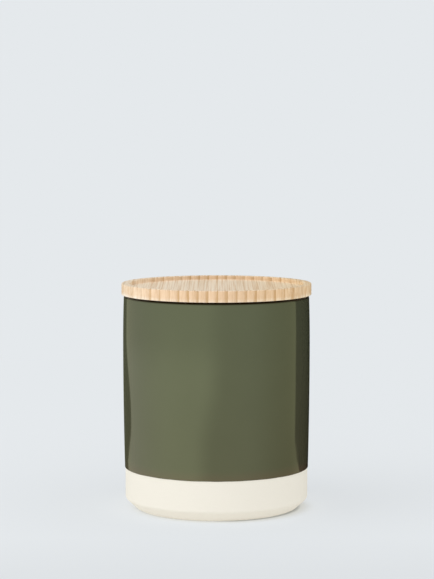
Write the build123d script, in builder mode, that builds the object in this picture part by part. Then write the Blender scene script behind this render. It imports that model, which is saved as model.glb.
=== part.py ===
from build123d import *

import itertools
import os

# Storage jar: a barrel-sided stoneware pot, glazed down to a bare clay band at its foot, and a
# turned bamboo lid, glued up from upright strips, whose plug carries a silicone seal.
# Millimetres, +Z up, origin at the middle of the foot ring's resting plane. The lid's strips
# run along Y.

# Pot, outside
pot_height = 135.6  # resting plane to the glazed top of the lip
belly_radius = 59.1  # the glazed wall at its widest
belly_height = 103.0  # where it is widest
lip_lean = 0.55  # how far the wall draws in from belly to lip
band_lean = 0.9  # how far the wall draws in from belly to bare band
band_height = 25.8  # top of the upright band at the foot, where the outer glaze stops
lip_outer_round = 2.0
lip_inner_round = 1.1
lip_outer_share = 0.56  # the most of the lip's width that its outer rounding may take
lip_inner_share = 0.34  # and its inner rounding
heel_height = 6.5  # resting plane to the top of the heel's bevel
heel_width = 6.3  # how far the bevel comes in
heel_round = 2.2  # where the bevel leaves the band

# Pot, foot and inside
foot_inset = 1.3  # the foot ring stands this far in from where the heel's bevel ends
foot_width = 4.6
foot_height = 0.7  # the foot ring's step below the bevel
foot_edge_round = 0.4
base_recess = 2.6  # hollow of the underside inside the foot ring
wall_thickness = 4.2  # the clay at the belly
floor_thickness = 5.0
inner_corner_round = 7.5

# Glazes, fired onto the clay
glaze_thickness = 0.35
glaze_wrap = 3.0  # how far down inside the mouth the outer glaze comes

# Bamboo lid
lid_overhang = 1.45  # past the glazed wall under the lip
lid_thickness = 7.0
rim_width = 5.0
tray_depth = 2.5
plug_gap = 2.6  # plug to glazed mouth
plug_land = 2.6  # the plug below its groove
inner_strips = 17  # strips between the two glue joints that stand nearest the seal's groove
left_joint_clearance = 0.23  # plug's side out to the left one
right_joint_inset = 1.64  # groove's floor in to the right one
lid_edge_chamfer = 0.5
tray_corner_chamfer = 0.5
plug_chamfer = 0.9
cut_overrun = 2.0  # how far the cutting boxes reach past the lid

# Silicone seal, in a groove round the plug
groove_depth = 2.0
groove_height = 4.4
groove_drop = 2.6  # lid's underside to the groove
seal_clearance = 0.1  # seal to groove, and fins to mouth
seal_stand_out = 0.6  # how far the seal's band stands out of the groove
fin_count = 2
fin_root = 1.1
fin_tip = 0.5
fin_rise = 0.5  # how far a fin's tip lies above its root

# Sizes that follow from the values above
clay_belly_radius = belly_radius - glaze_thickness
clay_lip_radius = clay_belly_radius - lip_lean
clay_band_radius = clay_belly_radius - band_lean
clay_top = pot_height - glaze_thickness
clay_mouth_radius = clay_belly_radius - wall_thickness
clay_well_radius = clay_mouth_radius - band_lean
clay_floor = base_recess + floor_thickness
lip_width = clay_lip_radius - clay_mouth_radius
heel_foot_radius = clay_band_radius - heel_width
foot_radius = heel_foot_radius - foot_inset
foot_inner_radius = foot_radius - foot_width
mouth_radius = clay_mouth_radius - glaze_thickness
mid_wall_radius = (clay_lip_radius + clay_mouth_radius) / 2
mid_floor = base_recess + floor_thickness / 2
wrap_height = pot_height - glaze_wrap
lid_radius = belly_radius - lip_lean + lid_overhang
lid_top = pot_height + lid_thickness
tray_radius = lid_radius - rim_width
tray_floor = lid_top - tray_depth
plug_radius = mouth_radius - plug_gap
groove_radius = plug_radius - groove_depth
groove_top = pot_height - groove_drop
groove_bottom = groove_top - groove_height
plug_bottom = groove_bottom - plug_land
seal_inner_radius = groove_radius + seal_clearance
seal_outer_radius = plug_radius + seal_stand_out
seal_bottom = groove_bottom + seal_clearance
seal_height = groove_height - 2 * seal_clearance
fin_radius = mouth_radius - seal_clearance
left_joint = -(plug_radius + left_joint_clearance)
right_joint = groove_radius - right_joint_inset
strip_width = (right_joint - left_joint) / inner_strips
glue_joints = [left_joint + strip_width * number for number in range(-1, inner_strips + 2)]
lid_reach = lid_radius + cut_overrun

os.makedirs("parts", exist_ok=True)


def write_piece(piece, name):
    """Labels a finished piece and writes it as its own file."""
    piece.part.label = name
    export_step(piece.part, f"parts/{name}.step")


# The clay in half section, from the middle of the underside round to the middle of the floor
with BuildSketch(Plane.XZ) as clay_section:
    with BuildLine():
        underside = Polyline(
            (0, base_recess),
            (foot_inner_radius, base_recess),
            (foot_inner_radius, 0),
            (foot_radius, 0),
            (foot_radius, foot_height),
            (heel_foot_radius, foot_height),
            (clay_band_radius, heel_height),
            (clay_band_radius, band_height),
        )
        belly = (clay_belly_radius, belly_height)
        TangentArc(belly, underside @ 1, tangent=(0, -1))
        shoulder = TangentArc(belly, (clay_lip_radius, clay_top), tangent=(0, 1))
        mouth = Polyline(
            shoulder @ 1, (clay_mouth_radius, clay_top), (clay_mouth_radius, belly_height)
        )
        hollow = TangentArc(mouth @ 1, (clay_well_radius, band_height), tangent=(0, -1))
        Polyline(hollow @ 1, (clay_well_radius, clay_floor), (0, clay_floor), (0, base_recess))
    make_face()
    corners = clay_section.vertices()
    for corner, radius in (
        ((clay_band_radius, heel_height), heel_round),
        ((heel_foot_radius, foot_height), foot_edge_round),
        ((foot_radius, 0), foot_edge_round),
        ((foot_inner_radius, 0), foot_edge_round),
        ((clay_lip_radius, clay_top), min(lip_outer_round, lip_outer_share * lip_width)),
        ((clay_mouth_radius, clay_top), min(lip_inner_round, lip_inner_share * lip_width)),
        ((clay_well_radius, clay_floor), inner_corner_round),
    ):
        fillet(corners.sort_by_distance(corner)[0], radius)

with BuildPart() as stoneware_pot:
    add(clay_section.sketch)
    revolve(axis=Axis.Z)
write_piece(stoneware_pot, "stoneware_pot")

# The coat of glaze in half section, all the way round the clay
with BuildSketch(Plane.XZ) as coat_section:
    offset(clay_section.sketch_local, amount=glaze_thickness, kind=Kind.ARC)
    add(clay_section.sketch_local, mode=Mode.SUBTRACT)

# The olive glaze outside, over the lip and a little way into the mouth
with BuildPart() as olive_glaze:
    with BuildSketch(Plane.XZ):
        with Locations((mid_wall_radius, band_height)):
            Rectangle(lid_radius, pot_height, align=Align.MIN)
        with Locations((0, wrap_height)):
            Rectangle(lid_radius, pot_height, align=Align.MIN)
        add(coat_section.sketch_local, mode=Mode.INTERSECT)
    revolve(axis=Axis.Z)
write_piece(olive_glaze, "olive_glaze")

# The pale glaze that lines the pot
with BuildPart() as liner_glaze:
    with BuildSketch(Plane.XZ):
        with BuildLine():
            Polyline(
                (0, mid_floor),
                (clay_well_radius, mid_floor),
                (mid_wall_radius, band_height),
                (mid_wall_radius, wrap_height),
                (0, wrap_height),
                close=True,
            )
        make_face()
        add(coat_section.sketch_local, mode=Mode.INTERSECT)
    revolve(axis=Axis.Z)
write_piece(liner_glaze, "liner_glaze")

# The lid as it leaves the lathe: rim, shallow tray, plug and the seal's groove
with BuildPart() as lid_blank:
    with BuildSketch(Plane.XZ) as lid_section:
        with BuildLine():
            Polyline(
                (0, plug_bottom),
                (plug_radius, plug_bottom),
                (plug_radius, groove_bottom),
                (groove_radius, groove_bottom),
                (groove_radius, groove_top),
                (plug_radius, groove_top),
                (plug_radius, pot_height),
                (lid_radius, pot_height),
                (lid_radius, lid_top),
                (tray_radius, lid_top),
                (tray_radius, tray_floor),
                (0, tray_floor),
                close=True,
            )
        make_face()
        corners = lid_section.vertices()
        for corner, size in (
            ((lid_radius, pot_height), lid_edge_chamfer),
            ((lid_radius, lid_top), lid_edge_chamfer),
            ((tray_radius, lid_top), lid_edge_chamfer),
            ((tray_radius, tray_floor), tray_corner_chamfer),
            ((plug_radius, plug_bottom), plug_chamfer),
        ):
            chamfer(corners.sort_by_distance(corner)[0], size)
    revolve(axis=Axis.Z)

# The strips that the lid is glued up from, cut out of it at the glue joints
strip_edges = itertools.pairwise([-lid_reach, *glue_joints, lid_reach])
for number, (left_edge, right_edge) in enumerate(strip_edges, start=1):
    with BuildPart() as lid_strip:
        add(lid_blank.part)
        with Locations((left_edge, 0, plug_bottom)):
            Box(
                right_edge - left_edge,
                2 * lid_reach,
                lid_top - plug_bottom,
                align=(Align.MIN, Align.CENTER, Align.MIN),
                mode=Mode.INTERSECT,
            )
    write_piece(lid_strip, f"lid_strip_{number:02d}")

# The seal: a band that fills the groove, with fins that reach the mouth
with BuildPart() as seal_ring:
    with BuildSketch(Plane.XZ):
        with Locations((seal_inner_radius, seal_bottom)):
            Rectangle(seal_outer_radius - seal_inner_radius, seal_height, align=Align.MIN)
        for fin in range(fin_count):
            fin_height = seal_bottom + seal_height * (fin + 0.5) / fin_count
            with BuildLine():
                Polyline(
                    (plug_radius, fin_height - fin_root / 2),
                    (fin_radius, fin_height + fin_rise - fin_tip / 2),
                    (fin_radius, fin_height + fin_rise + fin_tip / 2),
                    (plug_radius, fin_height + fin_root / 2),
                    close=True,
                )
            make_face()
    revolve(axis=Axis.Z)
write_piece(seal_ring, "seal_ring")
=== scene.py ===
import itertools
import math

import bmesh
import bpy
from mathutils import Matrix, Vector, noise


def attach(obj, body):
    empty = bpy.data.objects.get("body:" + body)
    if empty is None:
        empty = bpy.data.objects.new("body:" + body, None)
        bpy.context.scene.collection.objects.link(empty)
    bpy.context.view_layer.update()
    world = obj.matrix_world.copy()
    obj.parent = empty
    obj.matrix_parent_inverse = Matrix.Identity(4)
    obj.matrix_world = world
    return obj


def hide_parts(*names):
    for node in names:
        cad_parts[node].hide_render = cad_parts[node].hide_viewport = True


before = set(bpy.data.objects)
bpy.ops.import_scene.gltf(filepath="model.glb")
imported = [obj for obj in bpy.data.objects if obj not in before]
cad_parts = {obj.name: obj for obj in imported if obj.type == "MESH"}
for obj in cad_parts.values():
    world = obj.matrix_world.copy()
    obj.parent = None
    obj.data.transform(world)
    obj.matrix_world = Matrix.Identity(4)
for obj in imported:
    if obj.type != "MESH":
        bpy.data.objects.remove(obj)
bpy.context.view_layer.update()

# A storage jar: an olive-glazed stoneware pot with a bare clay band, and a bamboo lid glued up
# from strips, with a silicone seal on its plug. Sizes in millimetres, from the CAD model.

belly_radius = 59.1  # outside of the glaze at the jar's widest
belly_height = 103.0
lip_lean = 0.55  # how far the wall draws in from belly to lip
band_lean = 0.9  # and from belly to the bare band
band_height = 25.8
pot_height = 135.6
lip_outer_round = 2.0
lip_inner_round = 1.1
heel_height = 6.5  # the heel is a bevel, from here in and down
heel_radius = 51.55  # to here, at the foot ring's step
heel_round = 1.0  # how far its top edge's rounding reaches
foot_radius = 50.25
foot_width = 4.6
foot_height = 0.7
foot_edge_round = 0.4
step_edge_round = 0.18
base_recess = 2.6
wall_thickness = 4.2
floor_thickness = 5.0
inner_corner_round = 7.5
glaze_thickness = 0.35
glaze_wrap = 3.0  # how far down inside the mouth the olive glaze comes
glaze_edge_round = 0.3
glaze_edge_wander = 0.12  # how far the glaze line strays from level
glaze_edge_depth = 1  # how far above the glaze line the coat strays with it
glaze_edge_turn = 6  # radius of its circle through the noise; more gives shorter waves

lid_radius = 60.0
lid_top = 142.6
tray_radius = 55.0
tray_floor = 140.1
plug_radius = 51.6
plug_bottom = 126.0
groove_radius = 49.6
groove_bottom = 128.6
groove_top = 133.0
lid_edge_round = 0.5
lid_lower_round = 0.3
plug_round = 0.9
groove_edge_round = 0.15
strip_width = 5.87
first_joint = -57.70  # the leftmost glue joint
joint_count = 20

seal_inner_radius = 49.7
seal_outer_radius = 52.2
seal_bottom = 128.7
seal_top = 132.9
seal_edge_round = 0.25
fin_heights = (129.75, 131.85)  # the fins' roots
fin_radius = 54.1
fin_root = 1.1
fin_tip = 0.5
fin_rise = 0.5
fin_tip_round = 0.2

turn_steps = 320  # round the jar
round_segments = 5
wall_heights = 14  # rings between band and belly
smooth_angle = math.radians(32)
weld = 1e-4
metres = 0.001  # in a millimetre

clay_radius = belly_radius - glaze_thickness
clay_mouth = clay_radius - wall_thickness
clay_floor = base_recess + floor_thickness
clay_top = pot_height - glaze_thickness
wrap_height = pot_height - glaze_wrap
mouth_radius = clay_mouth - glaze_thickness
liner_floor = clay_floor + glaze_thickness
foot_inner_radius = foot_radius - foot_width
lid_reach = 70.0  # past the lid's edge


def wall(radius, height, lip=lip_lean):
    """Radius of the barrel-sided wall at a height: widest at the belly, upright in the band."""
    if height > belly_height:
        lean = lip * ((height - belly_height) / (pot_height - belly_height)) ** 2
    else:
        below = min(1, (belly_height - height) / (belly_height - band_height))
        lean = band_lean * below**2
    return radius - lean


def wall_run(radius, low, high, lip=lip_lean):
    """Corners up the wall between two heights, with none at its ends."""
    step = (high - low) / wall_heights
    return [(wall(radius, low + step * n, lip), low + step * n, 0) for n in range(1, wall_heights)]


def turned(corners, closed=False):
    """A mesh in millimetres turned from corners of (radius, height, rounding)."""
    mesh = bmesh.new()
    points = [mesh.verts.new((radius, 0, height)) for radius, height, _ in corners]
    for pair in itertools.pairwise(points + points[:1] * closed):
        mesh.edges.new(pair)
    for point, (_, _, rounding) in zip(points, corners):
        if rounding:
            bmesh.ops.bevel(
                mesh, geom=[point], offset=rounding, segments=round_segments, profile=0.5,
                affect="VERTICES", material=-1,
            )
    bmesh.ops.spin(
        mesh, geom=mesh.verts[:] + mesh.edges[:], cent=(0, 0, 0), axis=(0, 0, 1),
        angle=math.tau, steps=turn_steps, use_merge=True,
    )
    bmesh.ops.remove_doubles(mesh, verts=mesh.verts, dist=weld)
    bmesh.ops.recalc_face_normals(mesh, faces=mesh.faces)
    return mesh


def make_object(mesh, name, material):
    """Makes a mesh an object in the scene, and frees the mesh."""
    data = bpy.data.meshes.new(name)
    mesh.to_mesh(data)
    mesh.free()
    data.materials.append(material)
    thing = bpy.data.objects.new(name, data)
    bpy.context.scene.collection.objects.link(thing)
    return thing


def finish_piece(mesh, name, material, body, nodes):
    """Makes a mesh in millimetres an object that stands for its CAD nodes."""
    bmesh.ops.scale(mesh, vec=(metres,) * 3, verts=mesh.verts)
    piece = make_object(mesh, name, material)
    piece.data.shade_smooth()
    piece.data.set_sharp_from_angle(angle=smooth_angle)
    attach(piece, body)
    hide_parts(*nodes)


def linear(code):
    """An sRGB hex colour as the linear values that sockets take."""
    parts = [int(code[n:n + 2], 16) / 255 for n in (0, 2, 4)]
    parts = [p / 12.92 if p <= 0.04045 else ((p + 0.055) / 1.055) ** 2.4 for p in parts]
    return [*parts, 1]


def add(tree, kind, inputs=(), **settings):
    """Adds a node with its settings; an input is a value or a socket to link."""
    made = tree.nodes.new("ShaderNode" + kind)
    for name, value in settings.items():
        setattr(made, name, value)
    for key, value in dict(inputs).items():
        if isinstance(value, bpy.types.NodeSocket):
            tree.links.new(value, made.inputs[key])
        else:
            made.inputs[key].default_value = value
    return made


def new_material(name):
    """A material and its node tree, emptied."""
    material = bpy.data.materials.new(name)
    material.use_nodes = True
    tree = material.node_tree
    tree.nodes.clear()
    return material, tree


# Laminated bamboo, planed and turned, with a thin satin oil. A culm's wall is pale and open
# inside and dense and dark near its skin, so each strip darkens towards one side and steps back
# to pale at the glue joint. Fibres run along Y: long lines on top, short upright streaks on
# the end grain.
drift_scale = (7.3, 0.025, 0.06)  # per strip across, and per mm along and down
fibre_scale = (0.95, 0.006, 0.12)  # per mm across, along and down
bundle_scale = (1.35, 0.008, 0.3)
joint_core = 0.006  # half the width of a glue joint's full line, in strips
joint_fade = 0.026  # and half its width with the soft sides
wall_shade_depth = 0.3  # how near the tray's wall a point must be to get its painted shade
lower_sheen_full = 0.4  # the painted light on the lid's lower edge is palest up to here above the underside
lower_sheen_end = 2.5
fibre_relief = 0.00005  # in metres

bamboo, tree = new_material("laminated_bamboo_oiled")
coords = add(tree, "TexCoord")
place = add(
    tree, "VectorMath", {0: coords.outputs["Object"], "Scale": 1 / metres}, operation="SCALE"
)
axes = add(tree, "SeparateXYZ", {0: place.outputs[0]})
across = add(tree, "Math", {0: axes.outputs["X"], 1: first_joint}, operation="SUBTRACT")
strips = add(tree, "Math", {0: across.outputs[0], 1: strip_width}, operation="DIVIDE")
index = add(tree, "Math", {0: strips.outputs[0]}, operation="FLOOR")
share = add(tree, "Math", {0: strips.outputs[0]}, operation="FRACT")
chance = add(tree, "TexWhiteNoise", {"W": index.outputs[0]}, noise_dimensions="1D")
luck = add(tree, "SeparateColor", {0: chance.outputs["Color"]})

# end grain faces along Y; there the dense side shows most
facing = add(tree, "SeparateXYZ", {0: coords.outputs["Normal"]})
end_grain = add(tree, "Math", {0: facing.outputs["Y"]}, operation="ABSOLUTE")
show = add(tree, "MapRange", {"Value": end_grain.outputs[0], "To Min": 0.2, "To Max": 1.0})

# the dense side's edge wanders along the strip, about once in 40 mm
drift_place = add(
    tree, "CombineXYZ", {"X": index.outputs[0], "Y": axes.outputs["Y"], "Z": axes.outputs["Z"]}
)
drift_scaled = add(
    tree, "VectorMath", {0: drift_place.outputs[0], 1: drift_scale}, operation="MULTIPLY"
)
drift = add(tree, "TexNoise", {"Vector": drift_scaled.outputs[0], "Scale": 1, "Detail": 2})
wander = add(tree, "Math", {0: drift.outputs[0], 1: 0.34, 2: -0.17}, operation="MULTIPLY_ADD")
depth = add(tree, "Math", {0: share.outputs[0], 1: wander.outputs[0]}, operation="ADD")
skin = add(
    tree, "MapRange", {"Value": depth.outputs[0], "From Min": 0.48, "From Max": 1.0},
    interpolation_type="SMOOTHSTEP",
)
strength = add(tree, "MapRange", {"Value": luck.outputs[0], "To Min": 0.26, "To Max": 0.62})
# painted sheen: the strips at the left, on the key light's side, are made paler and plainer, their
# dense sides fainter
left_sheen = add(
    tree, "MapRange", {"Value": index.outputs[0], "From Min": 3, "From Max": 7, "To Min": 0.6}
)
contrast = add(
    tree, "Math", {0: strength.outputs[0], 1: left_sheen.outputs[0]}, operation="MULTIPLY"
)
dense = add(tree, "Math", {0: skin.outputs[0], 1: contrast.outputs[0]}, operation="MULTIPLY")
slow = add(
    tree, "Math", {0: share.outputs[0], 1: 0.3, 2: dense.outputs[0]}, operation="MULTIPLY_ADD"
)
banded = add(tree, "Math", {0: slow.outputs[0], 1: show.outputs[0]}, operation="MULTIPLY")

# fibres: lines about 1 mm apart, straight along the strips, where more or less dark tissue lies
fibre_place = add(
    tree, "VectorMath", {0: place.outputs[0], 1: fibre_scale}, operation="MULTIPLY"
)
fibre = add(
    tree, "TexNoise",
    {"Vector": fibre_place.outputs[0], "Scale": 1, "Detail": 4, "Roughness": 0.65},
)
# on the end grain they are short upright streaks that show less
lined = add(tree, "MapRange", {"Value": end_grain.outputs[0], "To Min": 1.0, "To Max": 0.3})
fibre_seen = add(
    tree, "Mix", {0: lined.outputs[0], 2: 0.5, 3: fibre.outputs[0]}, data_type="FLOAT"
)
streak = add(
    tree, "MapRange",
    {"Value": fibre_seen.outputs[0], "From Min": 0.38, "From Max": 0.62,
     "To Min": -0.25, "To Max": 0.65},
)
density = add(tree, "Math", {0: banded.outputs[0], 1: streak.outputs[0]}, operation="ADD")
# vascular bundles: 0.75 mm apart across, long along the strip
bundle_place = add(
    tree, "VectorMath", {0: place.outputs[0], 1: bundle_scale}, operation="MULTIPLY"
)
bundle = add(tree, "TexVoronoi", {"Vector": bundle_place.outputs[0], "Scale": 1})
bundle_mask = add(
    tree, "MapRange",
    {"Value": bundle.outputs["Distance"], "From Min": 0.12, "From Max": 0.42,
     "To Min": 1.0, "To Max": 0.0},
    interpolation_type="SMOOTHSTEP",
)

flat_colour = add(
    tree, "Mix", {0: density.outputs[0], 6: linear("FFEED6"), 7: linear("C79F70")},
    data_type="RGBA",
)
end_colour = add(
    tree, "Mix", {0: density.outputs[0], 6: linear("EDCFAE"), 7: linear("C19A6A")},
    data_type="RGBA",
)
body_colour = add(
    tree, "Mix",
    {0: end_grain.outputs[0], 6: flat_colour.outputs[2], 7: end_colour.outputs[2]},
    data_type="RGBA",
)
fibre_tone = add(
    tree, "MapRange",
    {"Value": fibre_seen.outputs[0], "From Min": 0.3, "From Max": 0.7,
     "To Min": 0.905, "To Max": 1.13},
)
bundle_tone = add(
    tree, "Math", {0: bundle_mask.outputs[0], 1: -0.07, 2: fibre_tone.outputs[0]},
    operation="MULTIPLY_ADD",
)
strip_tone = add(tree, "MapRange", {"Value": luck.outputs[1], "To Min": 0.98, "To Max": 1.04})
tone = add(
    tree, "Math", {0: bundle_tone.outputs[0], 1: strip_tone.outputs[0]}, operation="MULTIPLY"
)
# glue joints: a hair line, drawn 0.3 mm wide with its soft sides, so that it shows
mirrored = add(tree, "Math", {0: strips.outputs[0], 1: 0.5}, operation="PINGPONG")
joint_tone = add(
    tree, "MapRange",
    {"Value": mirrored.outputs[0], "From Min": joint_core, "From Max": joint_fade,
     "To Min": 0.92, "To Max": 1.0},
)
grain_tone = add(
    tree, "Math", {0: tone.outputs[0], 1: joint_tone.outputs[0]}, operation="MULTIPLY"
)
# painted shade: the tray's inner wall is darker where it is end grain, for the rim's shade inside
# the tray
level_place = add(
    tree, "VectorMath", {0: place.outputs[0], 1: (1, 1, 0)}, operation="MULTIPLY"
)
off_axis = add(tree, "VectorMath", {0: level_place.outputs[0]}, operation="LENGTH")
off_wall = add(
    tree, "Math", {0: off_axis.outputs[1], 1: tray_radius, 2: wall_shade_depth}, operation="COMPARE"
)
wall_shade = add(
    tree, "Math", {0: off_wall.outputs[0], 1: end_grain.outputs[0]}, operation="MULTIPLY"
)
wall_shade_tone = add(tree, "MapRange", {"Value": wall_shade.outputs[0], "To Min": 1.0, "To Max": 0.87})
full_tone = add(
    tree, "Math", {0: grain_tone.outputs[0], 1: wall_shade_tone.outputs[0]}, operation="MULTIPLY"
)
# painted shade: strip by strip to the right, away from the key light's sheen, the wood gets darker
# and warmer
right_shade = add(tree, "MapRange", {"Value": index.outputs[0], "From Min": 10, "From Max": 20})
right_shade_colour = add(
    tree, "Mix", {0: right_shade.outputs[0], 6: body_colour.outputs[2], 7: (0.94, 0.88, 0.74, 1.0)},
    data_type="RGBA", blend_type="MULTIPLY",
)
# painted light: the lid's lower edge is made paler and less warm, for the floor's light on it
lower_sheen = add(
    tree, "MapRange",
    {"Value": axes.outputs["Z"], "From Min": pot_height + lower_sheen_full,
     "From Max": pot_height + lower_sheen_end, "To Min": 1.0, "To Max": 0.0},
    interpolation_type="SMOOTHSTEP",
)
lower_sheen_colour = add(
    tree, "Mix", {0: lower_sheen.outputs[0], 6: right_shade_colour.outputs[2], 7: (1.07, 1.19, 1.36, 1.0)},
    data_type="RGBA", blend_type="MULTIPLY",
)
toned = add(
    tree, "VectorMath", {0: lower_sheen_colour.outputs[2], "Scale": full_tone.outputs[0]},
    operation="SCALE",
)
relief = add(
    tree, "Math", {0: bundle_mask.outputs[0], 1: -0.6, 2: fibre.outputs[0]},
    operation="MULTIPLY_ADD",
)
bump = add(
    tree, "Bump", {"Height": relief.outputs[0], "Strength": 0.25, "Distance": fibre_relief}
)
shader = add(
    tree, "BsdfPrincipled",
    {"Base Color": toned.outputs[0], "Roughness": 0.5, "IOR": 1.47, "Normal": bump.outputs[0]},
)
add(tree, "OutputMaterial", {0: shader.outputs[0]})

# Stoneware glaze, olive, dipped and fired glossy: it breaks to brown where it runs thin, just
# above the glaze line. On the lip's rounding, under the lid, it carries a painted shade.
cloud_scale = 0.045  # per mm, so clouds some 22 mm across
cloud_lift = 2.4  # how far the clouds move the thin zone's edge
thin_full = 1.0  # the coat counts as thinnest up to here above the glaze line
thin_end = 9.0  # and as thick from here
brown_height = 35  # the wall is brownest up to here
green_height = 122  # and greenest from here
lip_shade_start = 2.2  # below the lip's top, where the painted shade begins
lip_shade_full = 1.0

olive, tree = new_material("olive_stoneware_glaze")
coords = add(tree, "TexCoord")
place = add(
    tree, "VectorMath", {0: coords.outputs["Object"], "Scale": 1 / metres}, operation="SCALE"
)
axes = add(tree, "SeparateXYZ", {0: place.outputs[0]})
cloud = add(tree, "TexNoise", {"Vector": place.outputs[0], "Scale": cloud_scale, "Detail": 3})
edge_height = add(
    tree, "Math", {0: cloud.outputs[0], 1: cloud_lift, 2: axes.outputs["Z"]},
    operation="MULTIPLY_ADD",
)
thin = add(
    tree, "MapRange",
    {"Value": edge_height.outputs[0], "From Min": band_height + thin_full,
     "From Max": band_height + thin_end, "To Min": 1.0, "To Max": 0.0},
    interpolation_type="SMOOTHSTEP",
)
mottle = add(
    tree, "MapRange",
    {"Value": cloud.outputs[0], "From Min": 0.3, "From Max": 0.7, "To Min": 0.97, "To Max": 1.03},
)
# and it turns a little browner down the wall, where the coat gets thinner
down = add(
    tree, "MapRange",
    {"Value": axes.outputs["Z"], "From Min": brown_height, "From Max": green_height,
     "To Min": 1.0, "To Max": 0.0},
)
wall_colour = add(
    tree, "Mix", {0: down.outputs[0], 6: linear("454838"), 7: linear("444333")}, data_type="RGBA"
)
glaze_colour = add(
    tree, "Mix", {0: thin.outputs[0], 6: wall_colour.outputs[2], 7: linear("4D4234")},
    data_type="RGBA",
)
# painted shade: on the lip's rounding, under the lid, the glaze is painted a near-black brown and
# made duller, for the dark crevice there
lip_shade = add(
    tree, "MapRange",
    {"Value": axes.outputs["Z"], "From Min": pot_height - lip_shade_start,
     "From Max": pot_height - lip_shade_full},
    interpolation_type="SMOOTHSTEP",
)
glaze_lip_shaded = add(
    tree, "Mix", {0: lip_shade.outputs[0], 6: glaze_colour.outputs[2], 7: linear("1C0E02")},
    data_type="RGBA",
)
glaze_toned = add(
    tree, "VectorMath", {0: glaze_lip_shaded.outputs[2], "Scale": mottle.outputs[0]},
    operation="SCALE",
)
lip_shade_gloss = add(tree, "MapRange", {"Value": lip_shade.outputs[0], "To Min": 0.5, "To Max": 0.08})
shader = add(
    tree, "BsdfPrincipled",
    {"Base Color": glaze_toned.outputs[0], "Roughness": 0.08, "IOR": 1.58,
     "Specular IOR Level": lip_shade_gloss.outputs[0], "Specular Tint": (0.88, 1.0, 0.61, 1.0)},
)
add(tree, "OutputMaterial", {0: shader.outputs[0]})

# Liner: clear glaze over a white slip, ivory and glossy
liner_scale = 60  # per metre, so clouds some 17 mm across

liner, tree = new_material("ivory_liner_glaze")
coords = add(tree, "TexCoord")
cloud = add(
    tree, "TexNoise", {"Vector": coords.outputs["Object"], "Scale": liner_scale, "Detail": 3}
)
liner_colour = add(
    tree, "Mix", {0: cloud.outputs[0], 6: linear("E6DFCD"), 7: linear("ECE6D6")},
    data_type="RGBA",
)
shader = add(
    tree, "BsdfPrincipled",
    {"Base Color": liner_colour.outputs[2], "Roughness": 0.15, "IOR": 1.52},
)
add(tree, "OutputMaterial", {0: shader.outputs[0]})

# Stoneware, bisque: an unglazed cream body, smoothed with a sponge, dry and matt
grit_scale = 2.2  # per mm, so a grit of half a millimetre
grit_relief = 0.00006  # in metres

stoneware, tree = new_material("bare_cream_stoneware")
coords = add(tree, "TexCoord")
place = add(
    tree, "VectorMath", {0: coords.outputs["Object"], "Scale": 1 / metres}, operation="SCALE"
)
grain = add(tree, "TexNoise", {"Vector": place.outputs[0], "Scale": grit_scale, "Detail": 3})
clay_colour = add(
    tree, "Mix", {0: grain.outputs[0], 6: linear("E7E3D8"), 7: linear("EEEBE1")},
    data_type="RGBA",
)
bump = add(
    tree, "Bump", {"Height": grain.outputs[0], "Strength": 0.2, "Distance": grit_relief}
)
shader = add(
    tree, "BsdfPrincipled",
    {"Base Color": clay_colour.outputs[2], "Roughness": 0.8, "IOR": 1.45,
     "Normal": bump.outputs[0]},
)
add(tree, "OutputMaterial", {0: shader.outputs[0]})

# Silicone rubber, moulded, milky and satin
haze_scale = 300  # per metre, so a haze some 3 mm across

silicone, tree = new_material("milky_silicone_rubber")
coords = add(tree, "TexCoord")
haze = add(
    tree, "TexNoise", {"Vector": coords.outputs["Object"], "Scale": haze_scale, "Detail": 2}
)
silicone_colour = add(
    tree, "Mix", {0: haze.outputs[0], 6: linear("DEDBD2"), 7: linear("E6E4DD")},
    data_type="RGBA",
)
shader = add(
    tree, "BsdfPrincipled",
    {"Base Color": silicone_colour.outputs[2], "Roughness": 0.42, "IOR": 1.41},
)
add(tree, "OutputMaterial", {0: shader.outputs[0]})

# The pot: clay all through, from the hollow under the foot ring round to the inside floor
pot = turned([
    (0, base_recess, 0),
    (foot_inner_radius, base_recess, 0),
    (foot_inner_radius, 0, foot_edge_round),
    (foot_radius, 0, foot_edge_round),
    (foot_radius, foot_height, 0),
    (heel_radius, foot_height, step_edge_round),
    (wall(clay_radius, heel_height), heel_height, heel_round),
    (wall(clay_radius, band_height), band_height, 0),
    *wall_run(clay_radius, band_height, clay_top - lip_outer_round),
    (wall(clay_radius, clay_top), clay_top, lip_outer_round),
    (clay_mouth, clay_top, lip_inner_round),
    *reversed(wall_run(clay_mouth, band_height, belly_height, 0)),
    (wall(clay_mouth, clay_floor, 0), clay_floor, inner_corner_round),
    (0, clay_floor, 0),
])
finish_piece(pot, "pot_body", stoneware, "jar", ["stoneware_pot"])

# The olive coat: outside up from the glaze line, over the lip and a little way into the mouth
coat = turned([
    (wall(clay_radius, band_height), band_height, 0),
    (wall(belly_radius, band_height), band_height, glaze_edge_round),
    *wall_run(belly_radius, band_height, pot_height - lip_outer_round - glaze_thickness),
    (wall(belly_radius, pot_height), pot_height, lip_outer_round + glaze_thickness),
    (mouth_radius, pot_height, lip_inner_round + glaze_thickness),
    (mouth_radius, wrap_height, 0),
    (clay_mouth, wrap_height, 0),
    (clay_mouth, clay_top, lip_inner_round),
    (wall(clay_radius, clay_top), clay_top, lip_outer_round),
    *reversed(wall_run(clay_radius, band_height, clay_top - lip_outer_round)),
], closed=True)
for vert in coat.verts:
    if vert.co.z < band_height + glaze_edge_depth:
        around = Vector((vert.co.x, vert.co.y, 0)).normalized() * glaze_edge_turn
        vert.co.z += glaze_edge_wander * noise.noise(around)
finish_piece(coat, "outer_glaze", olive, "jar", ["olive_glaze"])

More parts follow.
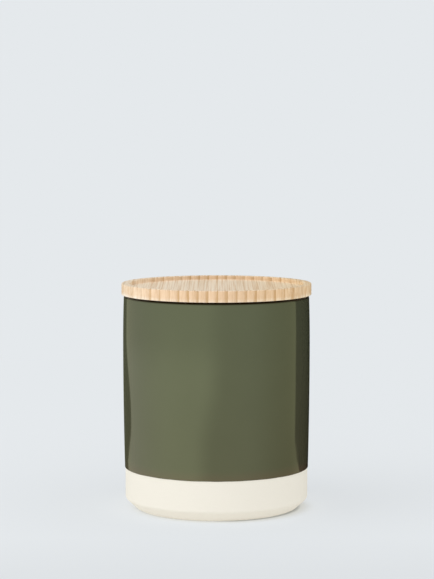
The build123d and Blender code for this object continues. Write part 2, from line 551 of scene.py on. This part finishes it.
# The liner: inside, up to where the olive coat ends
lining = turned([
    (0, clay_floor, 0),
    (wall(clay_mouth, clay_floor, 0), clay_floor, inner_corner_round),
    *wall_run(clay_mouth, band_height, belly_height, 0),
    (clay_mouth, wrap_height, 0),
    (mouth_radius, wrap_height, 0),
    *reversed(wall_run(mouth_radius, band_height, belly_height, 0)),
    (wall(mouth_radius, clay_floor, 0), liner_floor, inner_corner_round - glaze_thickness),
    (0, liner_floor, 0),
])
finish_piece(lining, "inner_glaze", liner, "jar", ["liner_glaze"])

# The seal: a moulded band with two fins
fin_corners = []
for height in fin_heights:
    fin_corners += [
        (seal_outer_radius, height - fin_root / 2, 0),
        (fin_radius, height + fin_rise - fin_tip / 2, fin_tip_round),
        (fin_radius, height + fin_rise + fin_tip / 2, fin_tip_round),
        (seal_outer_radius, height + fin_root / 2, 0),
    ]
seal = turned([
    (seal_inner_radius, seal_bottom, seal_edge_round),
    (seal_outer_radius, seal_bottom, seal_edge_round),
    *fin_corners,
    (seal_outer_radius, seal_top, seal_edge_round),
    (seal_inner_radius, seal_top, seal_edge_round),
], closed=True)
finish_piece(seal, "lid_seal", silicone, "seal", ["seal_ring"])

# The lid's blank, then its strips, sawn out of it at the glue joints
blank = turned([
    (0, plug_bottom, 0),
    (plug_radius, plug_bottom, plug_round),
    (plug_radius, groove_bottom, groove_edge_round),
    (groove_radius, groove_bottom, 0),
    (groove_radius, groove_top, 0),
    (plug_radius, groove_top, groove_edge_round),
    (plug_radius, pot_height, 0),
    (lid_radius, pot_height, lid_lower_round),
    (lid_radius, lid_top, lid_edge_round),
    (tray_radius, lid_top, lid_edge_round),
    (tray_radius, tray_floor, lid_edge_round),
    (0, tray_floor, 0),
])
joints = [first_joint + strip_width * n for n in range(joint_count)]
edges = itertools.pairwise([-lid_reach, *joints, lid_reach])
for number, (left, right) in enumerate(edges, start=1):
    strip = blank.copy()
    for place_x, side in ((left, -1), (right, 1)):
        cut = bmesh.ops.bisect_plane(
            strip, geom=strip.verts[:] + strip.edges[:] + strip.faces[:], dist=weld,
            plane_co=(place_x, 0, 0), plane_no=(side, 0, 0), clear_outer=True,
        )["geom_cut"]
        cut_edges = [part for part in cut if isinstance(part, bmesh.types.BMEdge)]
        if cut_edges:
            bmesh.ops.holes_fill(strip, edges=cut_edges, sides=0)
    bmesh.ops.recalc_face_normals(strip, faces=strip.faces)
    finish_piece(
        strip, f"bamboo_strip_{number:02d}", bamboo, "lid", [f"lid_strip_{number:02d}"]
    )
blank.free()

# Stage: a pale floor that fades into the plain backdrop, and cards that only gloss sees.
# Sizes in metres.
backdrop = linear("E5E9EC")
floor_radius = 40
floor_segments = 64
glow_start = 0.2  # off the axis, from where the floor fades from part lit to all glow
glow_end = 0.8
contact_shift = (-0.004, 0.001, 0.0)  # brings the middle of the lit ring by the foot to 0
contact_lit = 0.052  # the paper is plainly lit up to here from that middle
contact_end = 0.059  # and glows again from here
lee_start = -0.002  # across, from where the painted contact shadow starts
lee_full = 0.013
lee_near = 0.0515  # off the axis, up to where it is darkest
lee_far = 0.054
front_dim = -0.2  # the floor is dimmest from here on towards the camera
front_full = -0.1  # and at its full strength from here back
card_reach = 4  # how far a card goes up and down
card_steps = 48
card_spare = 16  # degrees of card past its right side, for the side to bend into


def stage_object(mesh, name, material):
    """Makes a mesh in metres an object in the scene."""
    thing = make_object(mesh, name, material)
    return thing


floor_paper, tree = new_material("backdrop_paper")
coords = add(tree, "TexCoord")
apart = add(tree, "VectorMath", {0: coords.outputs["Object"]}, operation="LENGTH")
fade = add(
    tree, "MapRange",
    {"Value": apart.outputs[1], "From Min": glow_start, "From Max": glow_end,
     "To Min": 0.6, "To Max": 1.0},
    interpolation_type="SMOOTHSTEP",
)
# only beside the foot, under the bevel, is the paper plainly lit, for a dark contact line
shifted = add(
    tree, "VectorMath", {0: coords.outputs["Object"], 1: contact_shift}, operation="ADD"
)
foot_apart = add(tree, "VectorMath", {0: shifted.outputs[0]}, operation="LENGTH")
beside = add(
    tree, "MapRange",
    {"Value": foot_apart.outputs[1], "From Min": contact_lit, "From Max": contact_end},
)
axes = add(tree, "SeparateXYZ", {0: coords.outputs["Object"]})
# painted shadow: away from the key light the paper's colour is darkened close to the foot, for a
# darker contact line
lee = add(
    tree, "MapRange", {"Value": axes.outputs["X"], "From Min": lee_start, "From Max": lee_full}
)
close_by = add(
    tree, "MapRange",
    {"Value": apart.outputs[1], "From Min": lee_near, "From Max": lee_far,
     "To Min": 1.0, "To Max": 0.0},
)
painted_shadow = add(tree, "Math", {0: lee.outputs[0], 1: close_by.outputs[0]}, operation="MULTIPLY")
near = add(
    tree, "MapRange",
    {"Value": axes.outputs["Y"], "From Min": front_dim, "From Max": front_full,
     "To Min": 0.9, "To Max": 1.0},
)
rays = add(tree, "LightPath")
paper_and_shadow_colour = add(
    tree, "Mix", {0: painted_shadow.outputs[0], 6: linear("EBEFF2"), 7: linear("C2C6C8")}, data_type="RGBA"
)
lit = add(tree, "BsdfDiffuse", {"Color": paper_and_shadow_colour.outputs[2]})
# what diffuse rays see of the floor is a warm bounce, what the camera sees is plain
bounce = add(
    tree, "Mix", {0: rays.outputs["Is Diffuse Ray"], 6: backdrop, 7: (1.0, 0.95, 0.88, 1.0)},
    data_type="RGBA",
)
plain = add(tree, "Emission", {"Color": bounce.outputs[2], "Strength": near.outputs[0]})
away = add(
    tree, "Math", {0: beside.outputs[0], 1: rays.outputs["Is Diffuse Ray"]}, operation="MAXIMUM"
)
glowing = add(tree, "Math", {0: fade.outputs[0], 1: away.outputs[0]}, operation="MULTIPLY")
paper = add(tree, "MixShader", {0: glowing.outputs[0], 1: lit.outputs[0], 2: plain.outputs[0]})
add(tree, "OutputMaterial", {0: paper.outputs[0]})

mesh = bmesh.new()
bmesh.ops.create_circle(mesh, cap_ends=True, segments=floor_segments, radius=floor_radius)
floor = stage_object(mesh, "studio_floor", floor_paper)
floor.visible_glossy = False


def stepped(tree, height, pairs):
    """A value that goes smoothly from pair to pair of a height and its value there."""
    total = pairs[0][1]
    for (start, was), (stop, now) in itertools.pairwise(pairs):
        step = add(
            tree, "MapRange",
            {"Value": height, "From Min": start, "From Max": stop,
             "To Min": 0.0, "To Max": now - was},
            interpolation_type="SMOOTHSTEP",
        )
        total = add(tree, "Math", {0: total, 1: step.outputs[0]}, operation="ADD").outputs[0]
    return total


def card(name, sides, softness, levels, colour=(1, 1, 1, 1), radius=2.0, bends=((), ())):
    """A tall curved card round the jar that only glossy rays see. Its sides are at angles in
    degrees from the camera, to the right, and each fades over its own softness. Its levels are
    pairs of a height and the light's strength there, and a side's bends are pairs of a height
    and how far right of its angle the side stands there."""
    left, right = sides
    material, tree = new_material(name + "_light")
    coords = add(tree, "TexCoord")
    mapped = add(
        tree, "Mapping",
        {"Vector": coords.outputs["Object"],
         "Rotation": (0, 0, math.radians(90 - (left + right) / 2))},
    )
    axes = add(tree, "SeparateXYZ", {0: mapped.outputs[0]})
    angle = add(
        tree, "Math", {0: axes.outputs["Y"], 1: axes.outputs["X"]}, operation="ARCTAN2"
    )
    half = math.radians(right - left) / 2
    ramps = []
    for side, soft, bend in zip((-1, 1), softness, bends):
        shift = stepped(tree, axes.outputs["Z"], bend or [(0, 0)])
        bent = add(
            tree, "Math", {0: shift, 1: -math.radians(1), 2: angle.outputs[0]},
            operation="MULTIPLY_ADD",
        )
        ramps.append(add(
            tree, "MapRange",
            {"Value": bent.outputs[0], "From Min": side * half,
             "From Max": side * (half - math.radians(soft))},
            interpolation_type="SMOOTHSTEP",
        ))
    fade = add(
        tree, "Math", {0: ramps[0].outputs[0], 1: ramps[1].outputs[0]}, operation="MULTIPLY"
    )
    strength = stepped(tree, axes.outputs["Z"], levels)
    glow = add(tree, "Emission", {"Color": colour, "Strength": strength})
    clear = add(tree, "BsdfTransparent")
    mixed = add(tree, "MixShader", {0: fade.outputs[0], 1: clear.outputs[0], 2: glow.outputs[0]})
    add(tree, "OutputMaterial", {0: mixed.outputs[0]})
    mesh = bmesh.new()
    start = math.radians(left - 90)
    low = mesh.verts.new((radius * math.cos(start), radius * math.sin(start), -card_reach))
    high = mesh.verts.new((low.co.x, low.co.y, card_reach))
    edge = mesh.edges.new((low, high))
    bmesh.ops.spin(
        mesh, geom=[low, high, edge], cent=(0, 0, 0), axis=(0, 0, 1),
        angle=2 * half + math.radians(card_spare), steps=card_steps,
    )
    thing = stage_object(mesh, name, material)
    for kind in ("camera", "diffuse", "transmission", "volume_scatter", "shadow"):
        setattr(thing, "visible_" + kind, False)


# The studio's light in the glaze, and the two dark bands in front of it
warm = (1.0, 1.0, 0.94, 1.0)
card("dim_card", (-172, -40), (2, 40), [(0, 0.45)], (1.0, 0.99, 0.62, 1.0), radius=2.1)
card("bright_card", (-165, 14), (115, 32), [(-0.17, 1.98), (-0.07, 1.64)], warm,
     bends=([(-0.17, 0), (-0.07, 5)], [(-0.2, 0), (-0.33, -15)]))
card("side_card", (-60, 112), (14, 86), [(0, 1.24)], warm, radius=2.05)
card("wood_card", (22, 145), (48, 2), [(-0.3, 0.64), (-0.345, 0.54)], (1.0, 0.98, 0.62, 1.0),
     radius=2.1)
card("dark_card_right", (113, 188), (0.7, 3), [(0, 0.0)], radius=1.9,
     bends=([(-0.08, 0), (-0.245, -3.9), (-0.29, -0.6), (-0.305, 3.5), (-0.34, 9),
             (-0.56, 21)], ()))
card("dark_card_left", (-178, -145), (4, 0.8), [(0, 0.1)], (0.95, 1.0, 0.6, 1.0), radius=1.9,
     bends=((), [(-0.085, 0), (-0.23, 15), (-0.257, 15), (-0.325, 0)]))

# The key light: a soft lamp from the left, in front and above
key_size = 1.2
key_watts = 4.2
key_place = (-1.3, -0.6, 0.9)
key_aim_height = 0.07

key = bpy.data.lights.new("key_softbox", "AREA")
key.shape = "RECTANGLE"
key.size = key_size
key.size_y = key_size
key.energy = key_watts
key_lamp = bpy.data.objects.new("key_softbox", key)
key_lamp.location = key_place
key_aim = Vector((0, 0, key_aim_height)) - key_lamp.location
key_lamp.rotation_euler = key_aim.to_track_quat("-Z", "Y").to_euler()
key_lamp.visible_glossy = False
bpy.context.scene.collection.objects.link(key_lamp)

# The world: a dome of light for diffuse rays, and the plain backdrop for all that is seen.
# The dome falls off upwards, and from the front, a little to the left, to the back.
dome_front = (-0.15, -0.99, 0.0)
dome_mean = 0.98
dome_by_side = 0.23
dome_by_height = -0.13

world = bpy.data.worlds.new("studio")
world.use_nodes = True
bpy.context.scene.world = world
tree = world.node_tree
tree.nodes.clear()
rays = add(tree, "LightPath")
seen = add(
    tree, "Math", {0: rays.outputs["Is Camera Ray"], 1: rays.outputs["Is Glossy Ray"]},
    operation="MAXIMUM",
)
seen_all = add(
    tree, "Math", {0: seen.outputs[0], 1: rays.outputs["Is Transmission Ray"]},
    operation="MAXIMUM",
)
coords = add(tree, "TexCoord")
upward = add(tree, "SeparateXYZ", {0: coords.outputs["Generated"]})
sideways = add(
    tree, "VectorMath", {0: coords.outputs["Generated"], 1: dome_front}, operation="DOT_PRODUCT"
)
level = add(
    tree, "Math", {0: sideways.outputs["Value"], 1: dome_by_side, 2: dome_mean},
    operation="MULTIPLY_ADD",
)
dome_level = add(
    tree, "Math", {0: upward.outputs["Z"], 1: dome_by_height, 2: level.outputs[0]},
    operation="MULTIPLY_ADD",
)
dome = add(tree, "Background", {"Color": (1.0, 1.0, 1.0, 1.0), "Strength": dome_level.outputs[0]})
plain = add(tree, "Background", {"Color": backdrop, "Strength": 1.0})
sky = add(tree, "MixShader", {0: seen_all.outputs[0], 1: dome.outputs[0], 2: plain.outputs[0]})
add(tree, "OutputWorld", {0: sky.outputs[0]})

# The camera, fitted to the photograph
focal_length = 130.3
sensor_height = 36
view_reach = 200
camera_place = (0.00035, -1.320, 0.255)
camera_pitch = 5.05  # degrees down

lens = bpy.data.cameras.new("camera")
lens.lens = focal_length
lens.sensor_fit = "VERTICAL"
lens.sensor_height = sensor_height
lens.clip_end = view_reach
camera = bpy.data.objects.new("camera", lens)
camera.location = camera_place
camera.rotation_euler = (math.radians(90 - camera_pitch), 0, 0)
bpy.context.scene.collection.objects.link(camera)
bpy.context.scene.camera = camera
bpy.context.scene.view_settings.view_transform = "Standard"
